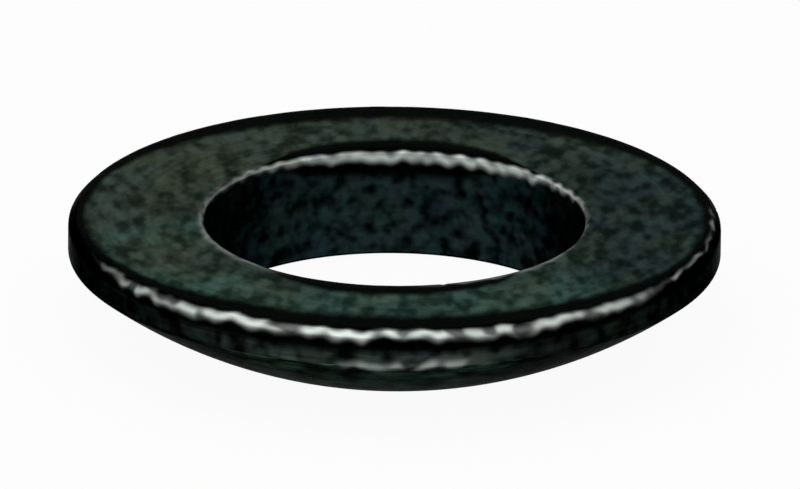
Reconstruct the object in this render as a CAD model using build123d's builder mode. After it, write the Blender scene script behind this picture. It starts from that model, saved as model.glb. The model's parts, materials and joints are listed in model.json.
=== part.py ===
from build123d import *
import os
from math import sqrt

# Spherical washer: a turned steel ring with a flat face on top and a convex ball face underneath.
# The flat face carries a nut or a bolt head. The ball face rolls in a conical seat, so the nut still bears
# evenly on a bolt that leans by a few degrees.
# The ring stands on the lower edge of its ball face. The origin is the middle of that edge, and +Z runs along
# the bore, towards the flat face. All sizes are in millimetres.

# Driving sizes of the ring, for a 20 mm bolt
outer_diameter = 36.0
bore_diameter = 21.0
ball_radius = 29.0
rim_height = 2.0

# Edge breaks: two chamfers at the flat face, one at the foot of the bore, and a rounded corner under the rim
face_chamfer = 0.4
mouth_chamfer = 0.2
foot_chamfer = 0.2
rim_corner_radius = 0.3

outer_radius = outer_diameter / 2
bore_radius = bore_diameter / 2
foot_radius = bore_radius + foot_chamfer

# The ball face starts at the foot, at height zero, and climbs to the underside of the rim
ball_centre_height = sqrt(ball_radius**2 - foot_radius**2)
rim_underside_height = ball_centre_height - sqrt(ball_radius**2 - outer_radius**2)
overall_height = rim_underside_height + rim_height

# Half section of the ring, turned once round the bore's axis
with BuildPart() as washer:
    with BuildSketch(Plane.XZ):
        with BuildLine():
            ball_face = RadiusArc((outer_radius, rim_underside_height), (foot_radius, 0), ball_radius)
            Polyline(
                ball_face @ 0,
                (outer_radius, overall_height),
                (bore_radius, overall_height),
                (bore_radius, foot_chamfer),
                ball_face @ 1,
            )
        make_face()
    revolve(axis=Axis.Z)

    # Full circles from the foot upwards: the last two bound the flat face, the one below them is the rim's corner
    turned_edges = washer.edges().filter_by(lambda edge: edge.is_closed).group_by(Axis.Z)
    mouth_edge, face_edge = turned_edges[-1].sort_by(SortBy.RADIUS)
    rim_corner = turned_edges[-2]
    chamfer(mouth_edge, mouth_chamfer)
    chamfer(face_edge, face_chamfer)
    fillet(rim_corner, rim_corner_radius)

washer.part.label = "spherical_washer"

os.makedirs("parts", exist_ok=True)
export_step(washer.part, "parts/spherical_washer.step")

box = washer.part.bounding_box()
print(f"overall {box.size.X:.3f} x {box.size.Y:.3f} x {box.size.Z:.4f} mm, foot at {box.min.Z:.4f} mm")
print(f"volume {washer.part.volume:.1f} mm3, bore wall {overall_height - mouth_chamfer - foot_chamfer:.4f} mm")
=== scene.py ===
"""Looks of the spherical washer: a turned and blackened steel ring on a pale studio floor.

The ring is turned from a half section by one node tree, with slightly rounded and uneven edges. Its four
machined zones (flat face, outer side, ball face and bore) carry blackened finishes that share shader groups.
All lengths are in metres, in the part's own frame: the origin is the middle of the ball face's lower edge,
and +Z runs along the bore towards the flat face.
"""

import json
import logging
import math
from dataclasses import dataclass, field, fields
from enum import Enum
from typing import Any

import bpy
from mathutils import Matrix, Vector


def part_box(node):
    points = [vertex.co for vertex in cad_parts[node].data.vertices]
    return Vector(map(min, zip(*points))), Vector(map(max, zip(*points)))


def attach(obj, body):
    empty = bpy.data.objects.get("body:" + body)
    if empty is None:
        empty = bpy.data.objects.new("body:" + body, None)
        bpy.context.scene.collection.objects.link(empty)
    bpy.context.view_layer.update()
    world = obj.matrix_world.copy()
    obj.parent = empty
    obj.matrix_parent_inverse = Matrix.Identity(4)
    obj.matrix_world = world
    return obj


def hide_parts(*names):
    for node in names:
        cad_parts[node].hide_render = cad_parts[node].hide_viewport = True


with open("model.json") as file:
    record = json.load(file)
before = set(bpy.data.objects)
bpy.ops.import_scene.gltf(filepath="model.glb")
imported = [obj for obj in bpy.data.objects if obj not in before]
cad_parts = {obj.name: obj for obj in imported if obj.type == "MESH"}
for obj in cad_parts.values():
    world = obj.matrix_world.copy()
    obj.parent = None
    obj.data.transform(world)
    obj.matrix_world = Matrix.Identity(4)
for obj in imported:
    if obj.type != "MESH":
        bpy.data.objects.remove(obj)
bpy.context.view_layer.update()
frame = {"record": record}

LOG = logging.getLogger("spherical_washer")

MILLIMETRE = 0.001
NODE_NAME = "spherical_washer"
BODY_NAME = "root"

Colour = tuple[float, float, float]
Triple = tuple[float, float, float]
Span = tuple[float, float]
Plug = Any


class Zone(Enum):
    """Machined zones of the ring, each with a finish of its own. The side and the bore have tones darker than
    the face's, which is painted shade.
    """

    FACE = "Face finish"
    SIDE = "Side finish"
    BALL = "Ball finish"
    BORE = "Bore finish"


class Edge(Enum):
    """Edges that wear, each named for the mesh value that holds the distance across it."""

    MOUTH = "mouth_across"
    BRIM = "brim_across"
    CORNER = "corner_across"


class Marks(Enum):
    """Which way the tool travelled, and so what its marks are spaced along."""

    FACED = 0.0
    TURNED = 1.0


class NodeGraph:
    """Adds nodes to one node tree and wires them up."""

    def __init__(self, tree: bpy.types.NodeTree) -> None:
        """Keeps the tree that is to be filled."""
        self.tree = tree

    def plug(self, value: Plug, socket: bpy.types.NodeSocket) -> None:
        """Links an output socket to an input, or sets the input to a plain value.

        Args:
            value: the output socket or the plain value.
            socket: the input.
        """
        if isinstance(value, bpy.types.NodeSocket):
            self.tree.links.new(value, socket)
        else:
            socket.default_value = value

    def add(self, kind: str, inputs: dict[str | int, Plug] | None = None, **settings: Any) -> bpy.types.Node:
        """Adds one node.

        Args:
            kind: the type name of the node.
            inputs: values or output sockets for its inputs, by name or index.
            settings: the node's own properties.

        Returns:
            The new node.
        """
        node = self.tree.nodes.new(kind)
        for name, value in settings.items():
            setattr(node, name, value)
        for key, value in (inputs or {}).items():
            self.plug(value, node.inputs[key])
        return node

    def math(self, operation: str, first: Plug, second: Plug = 0.0) -> bpy.types.NodeSocket:
        """Adds a Math node and returns its output."""
        return self.add("ShaderNodeMath", {0: first, 1: second}, operation=operation).outputs[0]

    def vector(self, x: Plug, y: Plug, z: Plug) -> bpy.types.NodeSocket:
        """Adds a Combine XYZ node and returns its output."""
        return self.add("ShaderNodeCombineXYZ", {0: x, 1: y, 2: z}).outputs[0]

    def dot(self, first: Plug, second: Plug) -> bpy.types.NodeSocket:
        """Adds a dot product of two vectors and returns its value."""
        node = self.add("ShaderNodeVectorMath", {0: first, 1: second}, operation="DOT_PRODUCT")
        return node.outputs["Value"]

    def ramp(self, value: Plug, low: Plug, high: Plug, start: Plug = 0.0,
             end: Plug = 1.0) -> bpy.types.NodeSocket:
        """Adds a smooth Map Range from low..high to start..end and returns its output."""
        inputs = {"Value": value, "From Min": low, "From Max": high, "To Min": start, "To Max": end}
        return self.add("ShaderNodeMapRange", inputs, interpolation_type="SMOOTHSTEP").outputs["Result"]

    def mix_colour(self, share: Plug, first: Plug, second: Plug, blend: str = "MIX") -> bpy.types.NodeSocket:
        """Adds a mix of two colours.

        Args:
            share: the second colour's share.
            first: the first colour.
            second: the second colour.
            blend: the way that the second is laid over the first.

        Returns:
            The mixed colour.
        """
        node = self.add("ShaderNodeMix", data_type="RGBA", blend_type=blend)
        self.plug(share, node.inputs[0])
        self.plug(first, node.inputs[6])
        self.plug(second, node.inputs[7])
        return node.outputs[2]

    def mix_value(self, share: Plug, first: Plug, second: Plug) -> bpy.types.NodeSocket:
        """Adds a mix of two values.

        Args:
            share: the second value's share.
            first: the first value.
            second: the second value.

        Returns:
            The mixed value.
        """
        node = self.add("ShaderNodeMix", data_type="FLOAT")
        self.plug(share, node.inputs[0])
        self.plug(first, node.inputs[2])
        self.plug(second, node.inputs[3])
        return node.outputs[0]

    def noise(self, where: Plug, size: Plug, seed: Plug, detail: float = 3.0) -> bpy.types.NodeSocket:
        """Adds a noise.

        Args:
            where: the place in space at which it is read.
            size: how wide its blotches are, in the units of the place.
            seed: which pattern it has.
            detail: how many finer layers it has.

        Returns:
            Its value, about 0 to 1.
        """
        scale = self.math("DIVIDE", 1.0, size)
        inputs = {"Vector": where, "W": seed, "Scale": scale, "Detail": detail}
        return self.add("ShaderNodeTexNoise", inputs, noise_dimensions="4D").outputs["Fac"]


def empty_graph(owner: bpy.types.Material | bpy.types.World) -> NodeGraph:
    """Gives a material or a sky an empty node tree.

    Args:
        owner: the material or the sky.

    Returns:
        The graph to fill.
    """
    owner.use_nodes = True
    owner.node_tree.nodes.clear()
    return NodeGraph(owner.node_tree)


def new_socket(tree: bpy.types.NodeTree, name: str, kind: str, out: bool = False) -> None:
    """Adds a named input, or an output, to a tree's interface."""
    tree.interface.new_socket(name=name, in_out="OUTPUT" if out else "INPUT", socket_type=kind)


def labelled(holder: Any, names: list[str]) -> dict[str, Any]:
    """Gives a dataclass's values under the labels of node inputs, such as Rim height for rim_height."""
    return {name.replace("_", " ").capitalize(): getattr(holder, name) for name in names}


def srgb(red: float, green: float, blue: float) -> Colour:
    """Turns a colour written as 0 to 255 display values into linear values."""
    shares = (red / 255, green / 255, blue / 255)
    return tuple(s / 12.92 if s <= 0.04045 else ((s + 0.055) / 1.055) ** 2.4 for s in shares)


class FinishGroups:
    """Shader groups that the ring's finishes share.

    A span is the stretch of a noise, or of the cosine of the angle from the heavy side, over which a mask
    rises. A draw is added to the seed, so that each noise of a finish has a pattern of its own.
    """

    CLOUD_SPAN: Span = (0.35, 0.65)
    DRIFT_SPAN: Span = (0.5, 0.8)
    HUE_SPAN: Span = (0.35, 0.65)
    BLOTCH_SPAN: Span = (0.2, 0.8)
    GRAIN_SPAN: Span = (0.25, 0.75)
    STREAK_SPAN: Span = (0.3, 0.7)
    KNOCK_SPAN: Span = (0.5, 0.68)
    SWELL_SPAN: Span = (0.36, 0.62)
    BACK_SPAN: Span = (-0.4, -0.65)
    BACK_SHIFT_SPAN: Span = (-0.1, -0.5)
    HUE_DETAIL = 1.0
    BLOTCH_DETAIL = 1.5
    GRAIN_DETAIL = 4.0
    CLOUD_DRAW = 0.0
    DRIFT_DRAW = 7.3
    HUE_DRAW = 9.4
    BLOTCH_DRAW = 5.7
    GRAIN_DRAW = 3.1
    STREAK_DRAW = 5.0
    KNOCK_DRAW = 6.1
    BEAD_DRAW = 2.9
    NOISE_MIDDLE = 0.5
    STREAK_PITCHES = 3.0
    STREAK_SIZE = 0.6
    KNOCK_BEADS = 5.0
    HEAVY_SWELL = 0.08

    def __init__(self) -> None:
        """Builds each group once."""
        self.place = self._place_group()
        self.oxide = self._oxide_group()
        self.marks = self._marks_group()
        self.wear = self._wear_and_highlight_group()

    @staticmethod
    def _start(name: str, inputs: list[str],
               outputs: list[str]) -> tuple[NodeGraph, bpy.types.Node, bpy.types.Node]:
        """Starts a shader group with value sockets.

        Args:
            name: the group's name.
            inputs: names of its inputs.
            outputs: names of its outputs.

        Returns:
            The graph to fill, and its input and output nodes.
        """
        tree = bpy.data.node_groups.new(name, "ShaderNodeTree")
        for label in inputs:
            new_socket(tree, label, "NodeSocketFloat")
        for label in outputs:
            new_socket(tree, label, "NodeSocketFloat", out=True)
        graph = NodeGraph(tree)
        return graph, graph.add("NodeGroupInput"), graph.add("NodeGroupOutput")

    def _place_group(self) -> bpy.types.NodeTree:
        """Gives a point's distance from the bore's axis, its height, and its direction round the axis.

        Returns:
            The group.
        """
        graph, _, out = self._start("Ring place", [], ["Radius", "Height", "Cosine", "Sine"])
        place = graph.add("ShaderNodeTexCoord").outputs["Object"]
        apart = graph.add("ShaderNodeSeparateXYZ", {0: place}).outputs
        squares = graph.math("ADD", graph.math("POWER", apart[0], 2.0), graph.math("POWER", apart[1], 2.0))
        radius = graph.math("SQRT", squares)
        graph.plug(radius, out.inputs["Radius"])
        graph.plug(apart[2], out.inputs["Height"])
        graph.plug(graph.math("DIVIDE", apart[0], radius), out.inputs["Cosine"])
        graph.plug(graph.math("DIVIDE", apart[1], radius), out.inputs["Sine"])
        return graph.tree

    def _oxide_group(self) -> bpy.types.NodeTree:
        """Gives the blotches of a blackened surface.

        There are two slow drifts of tone that lean across the ring, where a lean can paint light falling from
        one side, and patches of hue, blotches and a fine grain, which are drawn out along an axis where the
        lay is under one.

        Returns:
            The group.
        """
        inputs = ["Cloud size", "Hue size", "Blotch size", "Grain size", "Seed"]
        outputs = ["Cloud", "Drift", "Hue", "Blotch", "Grain"]
        graph, given, out = self._start("Oxide blotches", inputs, outputs)
        new_socket(graph.tree, "Cloud lean", "NodeSocketVector")
        new_socket(graph.tree, "Drift lean", "NodeSocketVector")
        new_socket(graph.tree, "Lay", "NodeSocketVector")
        place = graph.add("ShaderNodeTexCoord").outputs["Object"]
        seed = given.outputs["Seed"]
        drifts = (("Cloud", self.CLOUD_DRAW, self.CLOUD_SPAN), ("Drift", self.DRIFT_DRAW, self.DRIFT_SPAN))
        for name, draw, span in drifts:
            lean = graph.dot(place, given.outputs[f"{name} lean"])
            cloud = graph.noise(place, given.outputs["Cloud size"], graph.math("ADD", seed, draw))
            graph.plug(graph.ramp(graph.math("ADD", cloud, lean), *span), out.inputs[name])
        lay = {0: place, 1: given.outputs["Lay"]}
        laid = graph.add("ShaderNodeVectorMath", lay, operation="MULTIPLY").outputs["Vector"]
        patches = (
            ("Hue", self.HUE_DRAW, self.HUE_DETAIL, self.HUE_SPAN),
            ("Blotch", self.BLOTCH_DRAW, self.BLOTCH_DETAIL, self.BLOTCH_SPAN),
            ("Grain", self.GRAIN_DRAW, self.GRAIN_DETAIL, self.GRAIN_SPAN),
        )
        for name, draw, detail, span in patches:
            patch = graph.noise(laid, given.outputs[f"{name} size"], graph.math("ADD", seed, draw), detail)
            graph.plug(graph.ramp(patch, *span), out.inputs[name])
        return graph.tree

    def _marks_group(self) -> bpy.types.NodeTree:
        """Gives fine tool marks that run round the axis, and the faint streaks that go with them.

        Returns:
            The group.
        """
        graph, given, out = self._start("Tool marks", ["Turned", "Pitch", "Seed"], ["Groove", "Streak"])
        place = graph.add("ShaderNodeGroup", node_tree=self.place).outputs
        along = graph.mix_value(given.outputs["Turned"], place["Radius"], place["Height"])
        turns = graph.math("DIVIDE", along, given.outputs["Pitch"])
        lay = graph.vector(turns, place["Cosine"], place["Sine"])
        fine = graph.noise(lay, 1.0, given.outputs["Seed"], detail=2.0)
        wide = graph.math("DIVIDE", turns, self.STREAK_PITCHES)
        streaks = graph.vector(wide, place["Cosine"], place["Sine"])
        streak_seed = graph.math("ADD", given.outputs["Seed"], self.STREAK_DRAW)
        coarse = graph.noise(streaks, self.STREAK_SIZE, streak_seed, detail=2.0)
        graph.plug(fine, out.inputs["Groove"])
        graph.plug(graph.ramp(coarse, *self.STREAK_SPAN), out.inputs["Streak"])
        return graph.tree

    def _wear_and_highlight_group(self) -> bpy.types.NodeTree:
        """Gives the share of a line along an edge where the blackening has rubbed off, which is partly worn
        steel and partly a painted highlight.

        The line wanders and swells into beads, which run together on its heavy side. Away from there it thins
        out, moves across the edge, and comes back in short knocks.

        Returns:
            The group.
        """
        inputs = [
            "Across", "Ring radius", "Heavy from", "Half width", "Thin share", "Wander", "Bead size",
            "Bead gap", "Knocks", "Least", "Least from", "Least to", "Back share", "Most", "Shift",
            "Thin shift", "Back shift", "Shift from", "Shift to", "Seed",
        ]
        graph, group_input, out = self._start("Edge wear", inputs, ["Bare"])
        new_socket(graph.tree, "Heavy side", "NodeSocketVector")
        new_socket(graph.tree, "Kept side", "NodeSocketVector")
        given = group_input.outputs
        place = graph.add("ShaderNodeGroup", node_tree=self.place).outputs
        direction = graph.vector(place["Cosine"], place["Sine"], 0.0)
        toward = graph.dot(direction, given["Heavy side"])
        along_x = graph.math("MULTIPLY", place["Cosine"], given["Ring radius"])
        along_y = graph.math("MULTIPLY", place["Sine"], given["Ring radius"])
        spot = graph.vector(along_x, along_y, 0.0)
        seed = given["Seed"]
        bead_size = given["Bead size"]

        kept = graph.dot(direction, given["Kept side"])
        kept = graph.ramp(kept, given["Least from"], given["Least to"])
        kept = graph.math("MAXIMUM", kept, graph.ramp(toward, *self.BACK_SPAN, 0.0, given["Back share"]))
        knock_size = graph.math("MULTIPLY", bead_size, self.KNOCK_BEADS)
        knock = graph.noise(spot, knock_size, graph.math("ADD", seed, self.KNOCK_DRAW), detail=1.0)
        knock = graph.math("MULTIPLY", kept, graph.ramp(knock, *self.KNOCK_SPAN, 0.0, given["Knocks"]))
        # Heaviest on the heavy side, where the line is a painted highlight as well as worn steel, and in
        # knocks elsewhere.
        rub_and_highlight = graph.math("MAXIMUM", graph.ramp(toward, given["Heavy from"], 1.0), knock)

        full = graph.ramp(toward, given["Shift from"], given["Shift to"])
        thin = graph.mix_value(full, given["Thin share"], 1.0)
        beside = graph.math("SUBTRACT", 1.0, graph.math("POWER", toward, 2.0))
        shift = graph.mix_value(full, graph.math("MULTIPLY", given["Thin shift"], beside), given["Shift"])
        back_shift = graph.ramp(toward, *self.BACK_SHIFT_SPAN, 0.0, given["Back shift"])
        shift = graph.math("ADD", shift, back_shift)
        sway = graph.noise(spot, bead_size, seed, detail=0.0)
        sway = graph.math("SUBTRACT", sway, self.NOISE_MIDDLE)
        sway = graph.math("MULTIPLY", sway, graph.math("MULTIPLY", given["Wander"], thin))
        apart = graph.math("SUBTRACT", given["Across"], graph.math("ADD", sway, shift))
        width = graph.math("MULTIPLY", given["Half width"], thin)
        line = graph.ramp(graph.math("ABSOLUTE", apart), width, 0.0)

        bead_spot = graph.vector(along_x, along_y, given["Across"])
        bead = graph.noise(bead_spot, bead_size, graph.math("ADD", seed, self.BEAD_DRAW), detail=0.0)
        bead = graph.math("ADD", bead, graph.math("MULTIPLY", rub_and_highlight, self.HEAVY_SWELL))
        gap = graph.math("SUBTRACT", 1.0, given["Bead gap"])
        swell = graph.ramp(bead, *self.SWELL_SPAN, gap, 1.0)
        least = graph.math("MULTIPLY", kept, given["Least"])
        share = graph.math("MULTIPLY", swell, graph.mix_value(rub_and_highlight, least, given["Most"]))
        graph.plug(graph.math("MULTIPLY", graph.math("POWER", line, 2.0), share), out.inputs["Bare"])
        return graph.tree


@dataclass(frozen=True)
class EdgeWearAndHighlight:
    """One edge line: steel showing through the blackening, partly worn edge and partly painted highlight.

    The line is beaded, with deep black margins beside it. The heavy side is the direction from the axis in
    which the edge is worn most and the painted highlight is brightest, and the kept side the one round which
    a faint line is left. Values that end in from and to are cosines of the angle from there. A shift moves
    the line towards the wall. The thin values hold where the line has thinned out, and the back values on
    the side away from the heavy one. The margin has a share of its width at the ring's sides and one at its
    front and back.
    """

    edge: Edge
    heavy_side: Triple
    kept_side: Triple
    heavy_from: float
    half_width: float
    wander: float
    bead_size: float
    bead_gap: float
    most: float
    least: float = 0.0
    least_from: float = -1.0
    least_to: float = 0.0
    back_share: float = 0.0
    knocks: float = 0.0
    shift: float = 0.0
    shift_from: float = 0.0
    shift_to: float = 1.0
    thin_shift: float = 0.0
    back_shift: float = 0.0
    thin_share: float = 1.0
    margin_from: float = 0.0
    margin_side_share: float = 0.0
    margin_end_share: float = 0.0
    seed: float = 2.0

    def inputs(self, ring_radius: float) -> dict[str, Plug]:
        """Gives the plain values of the edge line group's inputs, on an edge of that radius."""
        names = [item.name for item in fields(self) if not item.name.startswith(("edge", "margin"))]
        return {"Ring radius": ring_radius, **labelled(self, names)}


# Each edge line below is partly worn steel and partly a painted highlight. It is set heaviest where the
# chamfer or corner faces the front and the softbox: at the mouth's far side, and at the front of the brim and
# of the corner under the rim.
MOUTH_WEAR_AND_HIGHLIGHT = EdgeWearAndHighlight(
    edge=Edge.MOUTH,
    heavy_side=(0.24, 0.97, 0.0),
    kept_side=(0.24, 0.97, 0.0),
    heavy_from=0.3,
    half_width=0.61 * MILLIMETRE,
    wander=0.7 * MILLIMETRE,
    bead_size=0.8 * MILLIMETRE,
    bead_gap=0.4,
    most=1.0,
    least=0.22,
    least_from=-0.98,
    least_to=-0.8,
    shift=0.4 * MILLIMETRE,
    shift_from=0.45,
    shift_to=1.0,
    thin_shift=0.06 * MILLIMETRE,
    back_shift=-0.36 * MILLIMETRE,
    thin_share=0.8,
    margin_from=0.45,
    margin_end_share=0.7,
)
BRIM_WEAR_AND_HIGHLIGHT = EdgeWearAndHighlight(
    edge=Edge.BRIM,
    heavy_side=(-0.06, -0.998, 0.0),
    kept_side=(0.28, -0.96, 0.0),
    heavy_from=0.35,
    half_width=0.78 * MILLIMETRE,
    wander=1.0 * MILLIMETRE,
    bead_size=1.05 * MILLIMETRE,
    bead_gap=0.85,
    most=0.95,
    least=0.22,
    least_from=0.1,
    least_to=0.45,
    back_share=1.0,
    knocks=0.25,
    shift_from=0.4,
    shift_to=0.65,
    thin_shift=-0.4 * MILLIMETRE,
    back_shift=0.3 * MILLIMETRE,
    thin_share=0.45,
    margin_side_share=0.3,
    margin_end_share=1.0,
    seed=23.0,
)
CORNER_WEAR_AND_HIGHLIGHT = EdgeWearAndHighlight(
    edge=Edge.CORNER,
    heavy_side=(0.05, -1.0, 0.0),
    kept_side=(0.05, -1.0, 0.0),
    heavy_from=0.965,
    half_width=0.66 * MILLIMETRE,
    wander=0.7 * MILLIMETRE,
    bead_size=1.2 * MILLIMETRE,
    bead_gap=0.95,
    most=0.5,
)


@dataclass(frozen=True)
class OxideFinish:
    """Blackened steel on one machined zone of the ring.

    The first tone drifts into the second and the third across the ring, and a contrast is how far a mask
    swings the tone either way. The zone keeps its tone towards the light side and opposite, and elsewhere
    its colour is darkened as painted shade.
    """

    name: str
    tones: tuple[Colour, Colour, Colour]
    marks: Marks
    wears: tuple[EdgeWearAndHighlight, ...]
    margin: float
    margin_shade: float = 0.97
    margin_firmness: float = 0.58
    cloud_lean: Triple = (0.0, 0.0, 0.0)
    drift_lean: Triple = (0.0, 0.0, 0.0)
    lay: Triple = (1.0, 1.0, 1.0)
    cloud_size: float = 7 * MILLIMETRE
    hue_size: float = 2.4 * MILLIMETRE
    blotch_size: float = 0.9 * MILLIMETRE
    grain_size: float = 0.42 * MILLIMETRE
    blotch_contrast: float = 0.4
    grain_contrast: float = 0.07
    streak_contrast: float = 0.1
    mark_pitch: float = 0.16 * MILLIMETRE
    groove_depth: float = 0.002 * MILLIMETRE
    pit_depth: float = 0.003 * MILLIMETRE
    roughness: float = 0.42
    roughness_swing: float = 0.05
    # The edge lines are partly worn steel and partly a painted highlight. Their colour is lighter than steel,
    # and they are half diffuse, so that they stay bright from any side.
    bare_roughness: float = 0.42
    bare_metal: float = 0.5
    bare_steel: Colour = (0.70, 0.76, 0.72)
    warm_tint: Colour = (1.05, 1.0, 0.92)
    cool_tint: Colour = (0.95, 1.0, 1.09)
    grazing_tint: Colour = (0.42, 0.43, 0.425)
    light_side: Triple = (0.0, -1.0, 0.0)
    light_from: float = 0.75
    light_to: float = 1.0
    shade_elsewhere: float = 1.0
    seed: float = 2.0

    def material(self, groups: FinishGroups, sizes: "RingSizes") -> bpy.types.Material:
        """Builds the finish as a node material.

        Args:
            groups: the shared shader groups.
            sizes: the ring's sizes, which set the width of its worn and highlighted edges.

        Returns:
            The new material.
        """
        made = bpy.data.materials.new(self.name)
        graph = empty_graph(made)
        names = ["cloud_lean", "drift_lean", "lay", "cloud_size", "hue_size", "blotch_size", "grain_size"]
        oxide = self._group(graph, groups.oxide, labelled(self, names))
        marks = self._group(graph, groups.marks, {"Turned": self.marks.value, "Pitch": self.mark_pitch})
        bare_and_highlight = self._bare(graph, groups, sizes)
        black = self._black(graph, groups, oxide, marks, sizes)
        # The edge lines, partly worn steel and partly painted highlight, lie over the blackened colour.
        colour = graph.mix_colour(bare_and_highlight, black, (*self.bare_steel, 1.0))
        roughest = self.roughness + self.roughness_swing
        smoothest = self.roughness - self.roughness_swing
        rough = graph.ramp(oxide["Grain"], 0.0, 1.0, roughest, smoothest)
        rough = graph.mix_value(bare_and_highlight, rough, self.bare_roughness)
        metal = graph.mix_value(bare_and_highlight, 1.0, self.bare_metal)
        look = {"Base Color": colour, "Metallic": metal, "Roughness": rough}
        shader = graph.add("ShaderNodeBsdfPrincipled", look)
        shader.inputs["Specular Tint"].default_value = (*self.grazing_tint, 1.0)
        graph.plug(self._relief(graph, oxide, marks), shader.inputs["Normal"])
        graph.add("ShaderNodeOutputMaterial", {"Surface": shader.outputs["BSDF"]})
        return made

    def _group(self, graph: NodeGraph, tree: bpy.types.NodeTree, inputs: dict[str, Plug]) -> Any:
        """Places a shared group with this finish's values and returns its outputs."""
        return graph.add("ShaderNodeGroup", {"Seed": self.seed, **inputs}, node_tree=tree).outputs

    @staticmethod
    def _attribute(graph: NodeGraph, name: str) -> bpy.types.NodeSocket:
        """Reads a value that the ring's mesh carries."""
        return graph.add("ShaderNodeAttribute", attribute_name=name).outputs["Fac"]

    def _bare(self, graph: NodeGraph, groups: FinishGroups, sizes: "RingSizes") -> bpy.types.NodeSocket:
        """Adds the lines along this zone's edges, partly worn steel and partly a painted highlight.

        Args:
            graph: the material being built.
            groups: the shared shader groups.
            sizes: the ring's sizes.

        Returns:
            The share of worn steel and painted highlight.
        """
        bare_and_highlight: Plug = 0.0
        for wear in self.wears:
            across = self._attribute(graph, wear.edge.value)
            inputs = wear.inputs(sizes.edge_radius(wear.edge))
            line = self._group(graph, groups.wear, {"Across": across, **inputs})["Bare"]
            bare_and_highlight = graph.math("MAXIMUM", bare_and_highlight, line)
        return bare_and_highlight

    def _black(self, graph: NodeGraph, groups: FinishGroups, oxide: Any, marks: Any,
               sizes: "RingSizes") -> bpy.types.NodeSocket:
        """Mixes the blackened tones, the grain, the streaks and the darker margins beside the edges.

        Args:
            graph: the material being built.
            groups: the shared shader groups.
            oxide: outputs of the oxide group.
            marks: outputs of the tool marks group.
            sizes: the ring's sizes.

        Returns:
            The colour of the blackened steel.
        """
        first, second, third = ((*tone, 1.0) for tone in self.tones)
        tone = graph.mix_colour(oxide["Cloud"], first, second)
        tone = graph.mix_colour(oxide["Drift"], tone, third)
        tint = graph.mix_colour(oxide["Hue"], (*self.cool_tint, 1.0), (*self.warm_tint, 1.0))
        tone = graph.mix_colour(1.0, tone, tint, blend="MULTIPLY")
        shade = self._margin(graph, groups, sizes)
        # Painted shade: away from the light side and its opposite, the zone's colour is darkened.
        if self.shade_elsewhere < 1.0:
            place = graph.add("ShaderNodeGroup", node_tree=groups.place).outputs
            toward = graph.dot(graph.vector(place["Cosine"], place["Sine"], 0.0), self.light_side)
            toward = graph.math("ABSOLUTE", toward)
            lit = graph.ramp(toward, self.light_from, self.light_to, self.shade_elsewhere, 1.0)
            shade = graph.math("MULTIPLY", shade, lit)
        contrasts = (
            (oxide["Grain"], self.grain_contrast),
            (oxide["Blotch"], self.blotch_contrast),
            (marks["Streak"], self.streak_contrast),
        )
        for mask, contrast in contrasts:
            swing = graph.ramp(mask, 0.0, 1.0, 1.0 - contrast, 1.0 + contrast)
            shade = graph.math("MULTIPLY", shade, swing)
        return graph.mix_colour(1.0, tone, graph.vector(shade, shade, shade), blend="MULTIPLY")

    def _margin(self, graph: NodeGraph, groups: FinishGroups, sizes: "RingSizes") -> bpy.types.NodeSocket:
        """Darkens a margin beside the flat face's edges, which is wider at the front and the back.

        Args:
            graph: the material being built.
            groups: the shared shader groups.
            sizes: the ring's sizes.

        Returns:
            The shade, 1 away from the margins.
        """
        sine = graph.add("ShaderNodeGroup", node_tree=groups.place).outputs["Sine"]
        endwise = graph.math("POWER", sine, 2.0)
        shade: Plug = 1.0
        for wear in self.wears:
            if wear.margin_end_share == 0.0:
                continue
            share = graph.ramp(endwise, wear.margin_from, 1.0, wear.margin_side_share, wear.margin_end_share)
            width = graph.math("ADD", graph.math("MULTIPLY", share, self.margin), sizes.edge_break(wear.edge))
            apart = graph.math("ABSOLUTE", self._attribute(graph, wear.edge.value))
            inner = graph.math("MULTIPLY", width, self.margin_firmness)
            dark = graph.ramp(apart, inner, width, 1.0 - self.margin_shade, 1.0)
            shade = graph.math("MINIMUM", shade, dark)
        return shade

    def _relief(self, graph: NodeGraph, oxide: Any, marks: Any) -> bpy.types.NodeSocket:
        """Adds the fine relief of the tool marks and of the grain.

        Args:
            graph: the material being built.
            oxide: outputs of the oxide group.
            marks: outputs of the tool marks group.

        Returns:
            The bent normal.
        """
        groove = graph.add("ShaderNodeBump", {"Distance": self.groove_depth, "Height": marks["Groove"]})
        pits = graph.add("ShaderNodeBump", {"Distance": self.pit_depth, "Height": oxide["Grain"]})
        graph.plug(groove.outputs["Normal"], pits.inputs["Normal"])
        return pits.outputs["Normal"]


@dataclass(frozen=True)
class RingSizes:
    """Sizes of the ring's half section."""

    outer_radius: float
    bore_radius: float
    height: float
    ball_radius: float = 29 * MILLIMETRE
    rim_height: float = 2 * MILLIMETRE
    brim_break: float = 0.4 * MILLIMETRE
    bore_break: float = 0.2 * MILLIMETRE
    corner_round: float = 0.22 * MILLIMETRE

    @classmethod
    def from_frame(cls) -> "RingSizes":
        """Reads the outer radius and height from the part's solid, and the bore from its mount.

        Returns:
            The ring's sizes.
        """
        _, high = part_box(NODE_NAME)
        mounts = {mount["name"]: mount for mount in frame["record"]["mounts"]}
        bore = mounts["bolt_bore"]["dims"]["r_mm"] * MILLIMETRE
        return cls(outer_radius=high.x, bore_radius=bore, height=high.z)

    def edge_radius(self, edge: Edge) -> float:
        """Gives the radius of the ring along one of its edges."""
        return self.bore_radius if edge is Edge.MOUTH else self.outer_radius

    def edge_break(self, edge: Edge) -> float:
        """Gives the leg of the chamfer on one of the ring's edges."""
        return self.bore_break if edge is Edge.MOUTH else self.brim_break


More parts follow.
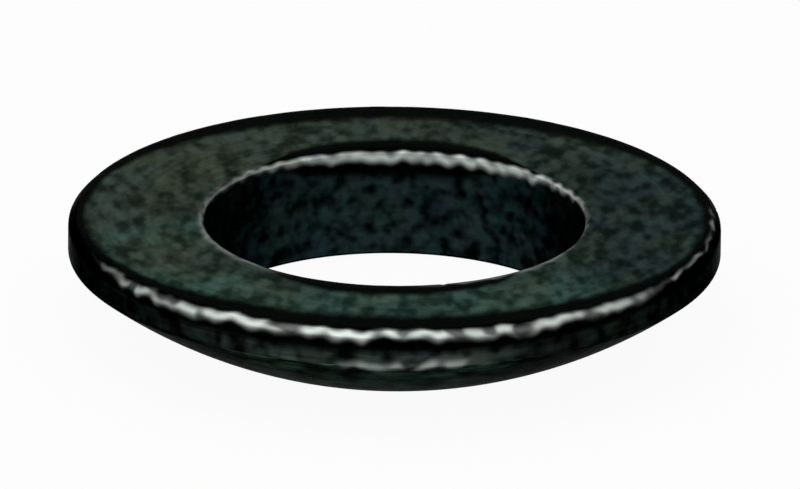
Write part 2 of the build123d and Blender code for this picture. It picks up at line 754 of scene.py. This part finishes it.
@dataclass
class TurnedRing:
    """The washer: a half section turned round the bore's axis, with uneven edges and blackened zones.

    The edges are uneven out to edge_reach times the brim's chamfer. A surface belongs to the flat face or
    the ball face where its normal rises or falls past upward_from, to the bore where it leans in past
    inward_from, and to the brim's chamfer where its rise and its lean outwards add up past brim_slant_from.
    """

    sizes: RingSizes
    finishes: dict[Zone, bpy.types.Material]
    turn_steps: int = 600
    corner_steps: int = 5
    arc_points: int = 96
    edge_wander: float = 0.03 * MILLIMETRE
    wander_size: float = 1.4 * MILLIMETRE
    edge_reach: float = 1.5
    nick_depth: float = 0.12 * MILLIMETRE
    nick_size: float = 1.0 * MILLIMETRE
    nick_span: Span = (0.68, 0.82)
    nick_draw: float = 11.0
    upward_from: float = 0.3
    inward_from: float = 0.6
    brim_slant_from: float = 1.2
    seed: float = 4.0
    merge_reach: float = 0.0005 * MILLIMETRE
    section_steps: dict[str, int] = field(default_factory=lambda: {
        "bore": 14, "mouth": 5, "face": 28, "brim": 5, "rim": 8, "ball": 32, "foot": 5})

    def build(self) -> bpy.types.Object:
        """Turns the ring and gives it back as a plain mesh object.

        Returns:
            The ring's object, at the origin, tied to the part's body and standing for its solid.
        """
        mesh = bpy.data.meshes.new("turned_ring")
        ring = bpy.data.objects.new("turned_ring", mesh)
        bpy.context.scene.collection.objects.link(ring)
        tree = self._tree()
        modifier = ring.modifiers.new("Turn", "NODES")
        modifier.node_group = tree
        values = self._values()
        for item in tree.interface.items_tree:
            if item.in_out == "INPUT" and item.name in values:
                modifier[item.identifier] = values[item.name]
        bpy.context.view_layer.update()
        evaluated = ring.evaluated_get(bpy.context.evaluated_depsgraph_get())
        plain = bpy.data.meshes.new_from_object(evaluated)
        ring.modifiers.remove(modifier)
        ring.data = plain
        bpy.data.meshes.remove(mesh)
        plain.name = "turned_ring"
        self._declare(ring)
        return ring

    @staticmethod
    def _declare(ring: bpy.types.Object) -> None:
        """Ties the ring to the part's body, and hides the part's solid.

        Args:
            ring: the finished ring.
        """
        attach(ring, BODY_NAME)
        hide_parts(NODE_NAME)

    def _values(self) -> dict[str, Any]:
        """Gives the values of the tree's named inputs.

        Returns:
            The ring's sizes, its unevenness and its finishes, by the inputs' names.
        """
        sizes = labelled(self.sizes, [item.name for item in fields(self.sizes)])
        names = ["turn_steps", "edge_wander", "wander_size", "nick_depth", "nick_size", "seed"]
        finishes = {zone.value: finish for zone, finish in self.finishes.items()}
        return {**sizes, **labelled(self, names), **finishes}

    def _tree(self) -> bpy.types.NodeTree:
        """Builds the tree that draws the half section, turns it, roughens its edges and sets its finishes.

        Returns:
            The tree.
        """
        tree = bpy.data.node_groups.new("Turned ring", "GeometryNodeTree")
        new_socket(tree, "Geometry", "NodeSocketGeometry")
        for name, value in self._values().items():
            kind = "NodeSocketFloat"
            if isinstance(value, int):
                kind = "NodeSocketInt"
            if isinstance(value, bpy.types.Material):
                kind = "NodeSocketMaterial"
            new_socket(tree, name, kind)
        new_socket(tree, "Geometry", "NodeSocketGeometry", out=True)
        graph = NodeGraph(tree)
        given = graph.add("NodeGroupInput").outputs
        section = self._section(graph, given)
        turned = self._turn(graph, given, section)
        uneven = self._roughen(graph, given, turned)
        dressed = self._dress(graph, given, uneven)
        out = graph.add("NodeGroupOutput")
        graph.plug(dressed, out.inputs[0])
        return tree

    def _section(self, graph: NodeGraph, given: Any) -> bpy.types.NodeSocket:
        """Draws the closed half section: straight stretches, the ball face's arc and rounded corners.

        Args:
            graph: the tree being built.
            given: the tree's inputs.

        Returns:
            The section as a curve, measured from the bore's wall (X) and down from the foot (Y), as the turn
            takes its Y downwards.
        """
        bore_cut = given["Bore break"]
        brim_cut = given["Brim break"]
        width = graph.math("SUBTRACT", given["Outer radius"], given["Bore radius"])
        height = given["Height"]
        within_rim = graph.math("SUBTRACT", width, brim_cut)
        under_rim = graph.math("SUBTRACT", height, given["Rim height"])
        corners = {
            "bore_foot": self._spot(graph, 0.0, bore_cut),
            "bore_top": self._spot(graph, 0.0, graph.math("SUBTRACT", height, bore_cut)),
            "face_inner": self._spot(graph, bore_cut, height),
            "face_outer": self._spot(graph, within_rim, height),
            "rim_top": self._spot(graph, width, graph.math("SUBTRACT", height, brim_cut)),
            "rim_foot": self._spot(graph, width, under_rim),
            "ball_foot": self._spot(graph, bore_cut, 0.0),
        }
        stretches = [
            ("bore", "bore_foot", "bore_top"),
            ("mouth", "bore_top", "face_inner"),
            ("face", "face_inner", "face_outer"),
            ("brim", "face_outer", "rim_top"),
            ("rim", "rim_top", "rim_foot"),
            ("ball", "rim_foot", "ball_foot"),
            ("foot", "ball_foot", "bore_foot"),
        ]
        joined = graph.add("GeometryNodeJoinGeometry")
        for name, start, end in stretches:
            line = self._stretch(graph, given, name, corners[start], corners[end])
            steps = {"Curve": line, "Count": self.section_steps[name]}
            even = graph.add("GeometryNodeResampleCurve", steps).outputs["Curve"]
            ends = graph.add("GeometryNodeCurveEndpointSelection").outputs["Selection"]
            graph.plug(self._store(graph, even, "corner", ends), joined.inputs[0])
        wires = graph.add("GeometryNodeCurveToMesh", {"Curve": joined.outputs[0]}).outputs[0]
        reach = {"Geometry": wires, "Distance": self.merge_reach}
        closed = graph.add("GeometryNodeMergeByDistance", reach).outputs[0]
        loop = graph.add("GeometryNodeMeshToCurve", {"Mesh": closed}).outputs[0]
        place = graph.add("GeometryNodeInputPosition").outputs[0]
        drop = graph.add("ShaderNodeSeparateXYZ", {0: place}).outputs[1]
        off_floor = graph.math("LESS_THAN", drop, -self.merge_reach)
        corner = graph.math("MULTIPLY", self._named(graph, "corner"), off_floor)
        rounding = graph.math("MULTIPLY", corner, given["Corner round"])
        fillet = {"Curve": loop, "Radius": rounding, "Limit Radius": True, "Count": self.corner_steps}
        return graph.add("GeometryNodeFilletCurve", fillet, mode="POLY").outputs[0]

    @staticmethod
    def _named(graph: NodeGraph, name: str) -> bpy.types.NodeSocket:
        """Reads a stored value back."""
        node = graph.add("GeometryNodeInputNamedAttribute", {"Name": name}, data_type="FLOAT")
        return node.outputs["Attribute"]

    @staticmethod
    def _store(graph: NodeGraph, shape: Plug, name: str, value: Plug) -> bpy.types.NodeSocket:
        """Stores a value on a shape's points.

        Args:
            graph: the tree being built.
            shape: the curve or mesh.
            name: the value's name.
            value: the value at each point.

        Returns:
            The shape with the value.
        """
        node = graph.add("GeometryNodeStoreNamedAttribute", data_type="FLOAT", domain="POINT")
        graph.plug(shape, node.inputs["Geometry"])
        graph.plug(name, node.inputs["Name"])
        graph.plug(value, node.inputs["Value"])
        return node.outputs[0]

    @staticmethod
    def _spot(graph: NodeGraph, across: Plug, height: Plug) -> bpy.types.NodeSocket:
        """Gives the section's point at a distance from the bore's wall and a height above the foot."""
        return graph.vector(across, graph.math("MULTIPLY", height, -1.0), 0.0)

    def _stretch(self, graph: NodeGraph, given: Any, name: str, start: Plug,
                 end: Plug) -> bpy.types.NodeSocket:
        """Draws one stretch of the section, straight or, for the ball face, an arc about the axis.

        Args:
            graph: the tree being built.
            given: the tree's inputs.
            name: the stretch's name.
            start: its first point.
            end: its last point.

        Returns:
            The stretch as a curve.
        """
        if name != "ball":
            return graph.add("GeometryNodeCurvePrimitiveLine", {"Start": start, "End": end}).outputs[0]
        bore = given["Bore radius"]
        ball_square = graph.math("POWER", given["Ball radius"], 2.0)
        foot = graph.math("ADD", bore, given["Bore break"])
        centre = graph.math("SQRT", graph.math("SUBTRACT", ball_square, graph.math("POWER", foot, 2.0)))
        middle = graph.math("MULTIPLY", graph.math("ADD", foot, given["Outer radius"]), 0.5)
        drop = graph.math("SQRT", graph.math("SUBTRACT", ball_square, graph.math("POWER", middle, 2.0)))
        rise = graph.math("SUBTRACT", centre, drop)
        between = self._spot(graph, graph.math("SUBTRACT", middle, bore), rise)
        arc = graph.add("GeometryNodeCurveArc", {"Resolution": self.arc_points}, mode="POINTS")
        graph.plug(start, arc.inputs["Start"])
        graph.plug(between, arc.inputs["Middle"])
        graph.plug(end, arc.inputs["End"])
        return arc.outputs[0]

    def _turn(self, graph: NodeGraph, given: Any, section: Plug) -> bpy.types.NodeSocket:
        """Sweeps the section once round the bore's axis and merges the steps that coincide.

        Args:
            graph: the tree being built.
            given: the tree's inputs.
            section: the half section.

        Returns:
            The turned shape.
        """
        circle = {"Resolution": given["Turn steps"], "Radius": given["Bore radius"]}
        path = graph.add("GeometryNodeCurvePrimitiveCircle", circle).outputs[0]
        swept = graph.add("GeometryNodeCurveToMesh", {"Curve": path, "Profile Curve": section}).outputs[0]
        reach = {"Geometry": swept, "Distance": self.merge_reach}
        merged = graph.add("GeometryNodeMergeByDistance", reach).outputs[0]
        smooth = graph.add("GeometryNodeSetShadeSmooth", {"Geometry": merged}).outputs[0]
        return self._mark(graph, given, smooth)

    def _mark(self, graph: NodeGraph, given: Any, shape: Plug) -> bpy.types.NodeSocket:
        """Stores how far each point lies across the worn edges.

        The distance across an edge of the flat face is zero in the middle of its chamfer, negative on the
        face and positive on the wall below. Across the corner under the rim it is the height above it.

        Args:
            graph: the tree being built.
            given: the tree's inputs.
            shape: the turned shape.

        Returns:
            The shape with the three distances.
        """
        place = graph.add("GeometryNodeInputPosition").outputs[0]
        apart = graph.add("ShaderNodeSeparateXYZ", {0: place}).outputs
        flat = graph.vector(apart[0], apart[1], 0.0)
        radius = graph.add("ShaderNodeVectorMath", {0: flat}, operation="LENGTH").outputs["Value"]
        below = graph.math("SUBTRACT", given["Height"], apart[2])
        above_ball = graph.math("LESS_THAN", below, given["Rim height"])
        past_mouth = graph.math("SUBTRACT", given["Bore radius"], radius)
        past_brim = graph.math("SUBTRACT", radius, given["Outer radius"])
        marks = {
            Edge.MOUTH: graph.math("ADD", graph.math("MULTIPLY", past_mouth, above_ball), below),
            Edge.BRIM: graph.math("ADD", graph.math("MULTIPLY", past_brim, above_ball), below),
            Edge.CORNER: graph.math("SUBTRACT", given["Rim height"], below),
        }
        for edge, value in marks.items():
            shape = self._store(graph, shape, edge.value, value)
        return shape

    def _roughen(self, graph: NodeGraph, given: Any, shape: Plug) -> bpy.types.NodeSocket:
        """Presses the edges in by a little, unevenly, and adds a few deeper nicks. Nothing moves outwards.

        Args:
            graph: the tree being built.
            given: the tree's inputs.
            shape: the turned shape.

        Returns:
            The shape with uneven edges.
        """
        place = graph.add("GeometryNodeInputPosition").outputs[0]
        normal = graph.add("GeometryNodeInputNormal").outputs[0]
        gaps = [graph.math("ABSOLUTE", self._named(graph, edge.value)) for edge in (Edge.MOUTH, Edge.BRIM)]
        apart = graph.math("MINIMUM", *gaps)
        reach = graph.math("MULTIPLY", given["Brim break"], self.edge_reach)
        edge = graph.ramp(apart, reach, given["Brim break"])
        wander = graph.noise(place, given["Wander size"], given["Seed"])
        nick_seed = graph.math("ADD", given["Seed"], self.nick_draw)
        nick = graph.noise(place, given["Nick size"], nick_seed, detail=1.0)
        deep = graph.math("MULTIPLY", graph.ramp(nick, *self.nick_span), given["Nick depth"])
        soft = graph.math("MULTIPLY", wander, given["Edge wander"])
        pressed = graph.math("MULTIPLY", graph.math("ADD", deep, soft), edge)
        move = graph.add("ShaderNodeVectorMath", {0: normal}, operation="SCALE")
        graph.plug(graph.math("MULTIPLY", pressed, -1.0), move.inputs["Scale"])
        return graph.add("GeometryNodeSetPosition", {"Geometry": shape, "Offset": move.outputs[0]}).outputs[0]

    def _dress(self, graph: NodeGraph, given: Any, shape: Plug) -> bpy.types.NodeSocket:
        """Makes the shape real and gives each zone its finish, by the way that its surface faces.

        The chamfer at the brim, which faces up and out, goes with the outer side. The one at the mouth goes
        with the flat face.

        Args:
            graph: the tree being built.
            given: the tree's inputs.
            shape: the uneven shape.

        Returns:
            The dressed shape.
        """
        real = graph.add("GeometryNodeRealizeInstances", {"Geometry": shape}).outputs[0]
        normal = graph.add("GeometryNodeInputNormal").outputs[0]
        place = graph.add("GeometryNodeInputPosition").outputs[0]
        upwards = graph.add("ShaderNodeSeparateXYZ", {0: normal}).outputs[2]
        apart = graph.add("ShaderNodeSeparateXYZ", {0: place}).outputs
        outwards = graph.dot(normal, graph.vector(apart[0], apart[1], 0.0))
        flat = graph.math("GREATER_THAN", upwards, self.upward_from)
        downwards = graph.math("LESS_THAN", upwards, -self.upward_from)
        from_bore = graph.math("DIVIDE", outwards, given["Bore radius"])
        inwards = graph.math("LESS_THAN", from_bore, -self.inward_from)
        slanting = graph.math("ADD", upwards, graph.math("DIVIDE", outwards, given["Outer radius"]))
        brim = graph.math("GREATER_THAN", slanting, self.brim_slant_from)
        choices = [
            (Zone.SIDE, True),
            (Zone.BALL, downwards),
            (Zone.BORE, inwards),
            (Zone.FACE, flat),
            (Zone.SIDE, brim),
        ]
        for zone, chosen in choices:
            node = graph.add("GeometryNodeSetMaterial", {"Geometry": real, "Selection": chosen})
            graph.plug(given[zone.value], node.inputs["Material"])
            real = node.outputs[0]
        return real


@dataclass
class Studio:
    """Pale floor, even sky and one softbox."""

    floor_side: float = 8.0
    floor_white: float = 0.93
    floor_lift: float = 0.94
    floor_gloss_lift: float = 0.4
    sky_level: float = 0.5
    background_level: float = 1.0
    softbox_length: float = 0.30
    softbox_width: float = 0.16
    softbox_power: float = 0.28
    softbox_place: Triple = (-0.07, -0.06, 0.35)

    @staticmethod
    def _seen(graph: NodeGraph, direct_share: float, shiny_share: float) -> bpy.types.NodeSocket:
        """Adds a mask of the rays that see the background.

        Args:
            graph: the material or sky being built.
            direct_share: the mask's level for rays from the camera.
            shiny_share: the mask's level for rays that glossy and clear surfaces send on.

        Returns:
            The mask.
        """
        rays = graph.add("ShaderNodeLightPath").outputs
        shiny = graph.math("MAXIMUM", rays["Is Glossy Ray"], rays["Is Transmission Ray"])
        direct = graph.math("MULTIPLY", rays["Is Camera Ray"], direct_share)
        return graph.math("MAXIMUM", direct, graph.math("MULTIPLY", shiny, shiny_share))

    def build(self) -> None:
        """Builds the floor, the sky and the softbox."""
        self._floor()
        self._sky()
        self._softbox()

    def _floor(self) -> None:
        """Lays a pale floor under the ring, which is clear when it is seen from below."""
        half = self.floor_side / 2
        mesh = bpy.data.meshes.new("studio_floor")
        corners = [(-half, -half, 0.0), (half, -half, 0.0), (half, half, 0.0), (-half, half, 0.0)]
        mesh.from_pydata(corners, [], [(0, 1, 2, 3)])
        floor = bpy.data.objects.new("studio_floor", mesh)
        bpy.context.scene.collection.objects.link(floor)
        paint = bpy.data.materials.new("Pale floor")
        graph = empty_graph(paint)
        white = (self.floor_white, self.floor_white, self.floor_white, 1.0)
        matte = graph.add("ShaderNodeBsdfDiffuse", {"Color": white}).outputs[0]
        glow = graph.add("ShaderNodeEmission", {"Strength": self.background_level}).outputs[0]
        lift = self._seen(graph, self.floor_lift, self.floor_gloss_lift)
        lit = graph.add("ShaderNodeMixShader", {0: lift, 1: matte, 2: glow}).outputs[0]
        clear = graph.add("ShaderNodeBsdfTransparent").outputs[0]
        behind = graph.add("ShaderNodeNewGeometry").outputs["Backfacing"]
        shown = graph.add("ShaderNodeMixShader", {0: behind, 1: lit, 2: clear}).outputs[0]
        graph.add("ShaderNodeOutputMaterial", {"Surface": shown})
        mesh.materials.append(paint)

    def _sky(self) -> None:
        """Surrounds the scene with an even pale sky."""
        world = bpy.data.worlds.new("Pale sky")
        bpy.context.scene.world = world
        graph = empty_graph(world)
        level = graph.mix_value(self._seen(graph, 1.0, 1.0), self.sky_level, self.background_level)
        sky = graph.add("ShaderNodeBackground", {"Color": (1.0, 1.0, 1.0, 1.0), "Strength": level})
        graph.add("ShaderNodeOutputWorld", {"Surface": sky.outputs[0]})

    def _softbox(self) -> None:
        """Hangs one softbox above the ring, a little to the front left."""
        lamp = bpy.data.lights.new("softbox", "AREA")
        lamp.shape = "RECTANGLE"
        lamp.size = self.softbox_length
        lamp.size_y = self.softbox_width
        lamp.energy = self.softbox_power
        box = bpy.data.objects.new("softbox", lamp)
        box.location = self.softbox_place
        box.rotation_euler = Vector(self.softbox_place).to_track_quat("Z", "Y").to_euler()
        bpy.context.scene.collection.objects.link(box)


@dataclass
class PhotoCamera:
    """Camera at the photograph's viewing angle, in its frame of 800 by 489 pixels."""

    face_centre: Vector
    frame_width_px: float = 800.0
    frame_height_px: float = 489.0
    face_centre_px: tuple[float, float] = (394.7, 216.3)
    scale_px_per_mm: float = 18.143
    elevation_deg: float = 20.66
    roll_deg: float = 0.56
    distance: float = 1.0
    sensor_width_mm: float = 36.0
    clip_start_share: float = 0.1
    clip_end_share: float = 20.0

    def build(self) -> bpy.types.Object:
        """Places the camera so that the flat face's centre falls on its pixel.

        Returns:
            The camera, which is also the scene's own.
        """
        tilt = math.radians(self.elevation_deg)
        roll = math.radians(self.roll_deg)
        level = Vector((1.0, 0.0, 0.0))
        steep = Vector((0.0, math.sin(tilt), math.cos(tilt)))
        back = Vector((0.0, -math.cos(tilt), math.sin(tilt)))
        right = level * math.cos(roll) + steep * math.sin(roll)
        up = steep * math.cos(roll) - level * math.sin(roll)
        pixel = MILLIMETRE / self.scale_px_per_mm
        aside = (self.frame_width_px / 2 - self.face_centre_px[0]) * pixel
        below = (self.frame_height_px / 2 - self.face_centre_px[1]) * pixel
        aim = self.face_centre + right * aside - up * below
        place = aim + back * self.distance

        data = bpy.data.cameras.new("photo_camera")
        data.sensor_width = self.sensor_width_mm
        data.lens = self.sensor_width_mm * self.distance / (self.frame_width_px * pixel)
        data.clip_start = self.distance * self.clip_start_share
        data.clip_end = self.distance * self.clip_end_share
        camera = bpy.data.objects.new("photo_camera", data)
        turn = Matrix((right, up, back)).transposed().to_4x4()
        camera.matrix_world = Matrix.Translation(place) @ turn
        bpy.context.scene.collection.objects.link(camera)
        bpy.context.scene.camera = camera
        return camera


def ring_finishes(sizes: RingSizes) -> dict[Zone, bpy.types.Material]:
    """Makes the finishes of the ring's machined zones.

    Args:
        sizes: the ring's sizes, which place the flat face's edges.

    Returns:
        One material for each zone.
    """
    finishes = {
        Zone.FACE: OxideFinish(
            name="Blackened steel, faced",
            tones=(srgb(53, 61, 54), srgb(41, 50, 48), srgb(54, 72, 65)),
            marks=Marks.FACED,
            wears=(MOUTH_WEAR_AND_HIGHLIGHT, BRIM_WEAR_AND_HIGHLIGHT),
            margin=2.7 * MILLIMETRE,
            lay=(1.0, 0.55, 1.0),
            blotch_size=0.75 * MILLIMETRE,
            blotch_contrast=0.62,
            grain_size=0.34 * MILLIMETRE,
            # The leans make the face darker to the right and lighter and greener at the front left: painted
            # light from the front left, laid over the random drift of the blackening's tone.
            cloud_lean=(17.0, -13.0, 0.0),
            drift_lean=(-4.0, -17.0, 0.0),
            cloud_size=5 * MILLIMETRE,
        ),
        Zone.SIDE: OxideFinish(
            name="Blackened steel, turned",
            # The side's tones are darker than the face's: painted shade, for a side that the light from above
            # reaches less.
            tones=(srgb(38, 47, 43), srgb(37, 43, 41), srgb(33, 48, 43)),
            marks=Marks.TURNED,
            wears=(BRIM_WEAR_AND_HIGHLIGHT, CORNER_WEAR_AND_HIGHLIGHT),
            margin=1.15 * MILLIMETRE,
            cloud_size=3 * MILLIMETRE,
            blotch_size=1.0 * MILLIMETRE,
            blotch_contrast=0.95,
            streak_contrast=0.3,
            grazing_tint=(0.16, 0.18, 0.17),
            # Painted shade: the side is darker round the ring away from its front and back.
            light_side=(-0.1, -0.995, 0.0),
            light_from=0.84,
            light_to=0.96,
            shade_elsewhere=0.3,
            seed=5.0,
        ),
        Zone.BALL: OxideFinish(
            name="Blackened steel, ball face",
            tones=(srgb(60, 74, 67), srgb(56, 67, 62), srgb(52, 76, 66)),
            marks=Marks.FACED,
            wears=(CORNER_WEAR_AND_HIGHLIGHT,),
            margin=0.9 * MILLIMETRE,
            cloud_size=3 * MILLIMETRE,
            blotch_size=1.4 * MILLIMETRE,
            blotch_contrast=0.85,
            streak_contrast=0.3,
            grazing_tint=(0.18, 0.2, 0.19),
            # Painted shade: the ball face is darker round the ring away from its front and back.
            light_side=(-0.1, -0.995, 0.0),
            light_from=0.84,
            light_to=0.96,
            shade_elsewhere=0.4,
            seed=5.0,
        ),
        Zone.BORE: OxideFinish(
            name="Blackened steel, bored",
            # The bore's tones are darker still, and its grazing tint lower: painted shade inside the bore.
            tones=(srgb(23, 40, 37), srgb(28, 38, 41), srgb(24, 43, 37)),
            marks=Marks.TURNED,
            wears=(MOUTH_WEAR_AND_HIGHLIGHT,),
            margin=2.6 * MILLIMETRE,
            cloud_size=2 * MILLIMETRE,
            blotch_size=0.75 * MILLIMETRE,
            blotch_contrast=0.92,
            # The mouth's line is near white and mostly diffuse here: more painted highlight than worn steel.
            bare_metal=0.15,
            bare_steel=(0.84, 0.93, 0.88),
            grazing_tint=(0.22, 0.23, 0.225),
            # Painted shade: the bore is darker at its sides than at its back and front walls.
            light_side=(0.08, 0.997, 0.0),
            light_from=0.5,
            shade_elsewhere=0.4,
            seed=8.0,
        ),
    }
    groups = FinishGroups()
    return {zone: finish.material(groups, sizes) for zone, finish in finishes.items()}


def main() -> None:
    """Builds the ring, the studio and the camera, in that order."""
    bpy.context.scene.view_settings.view_transform = "Standard"
    sizes = RingSizes.from_frame()
    ring = TurnedRing(sizes, ring_finishes(sizes)).build()
    LOG.info("%s: %d vertices, %d faces", ring.name, len(ring.data.vertices), len(ring.data.polygons))
    Studio().build()
    camera = PhotoCamera(face_centre=Vector((0.0, 0.0, sizes.height))).build()
    LOG.info("%s: lens %.0f mm", camera.name, camera.data.lens)


if __name__ == "__main__":
    logging.basicConfig(level=logging.INFO, format="%(message)s")
    main()
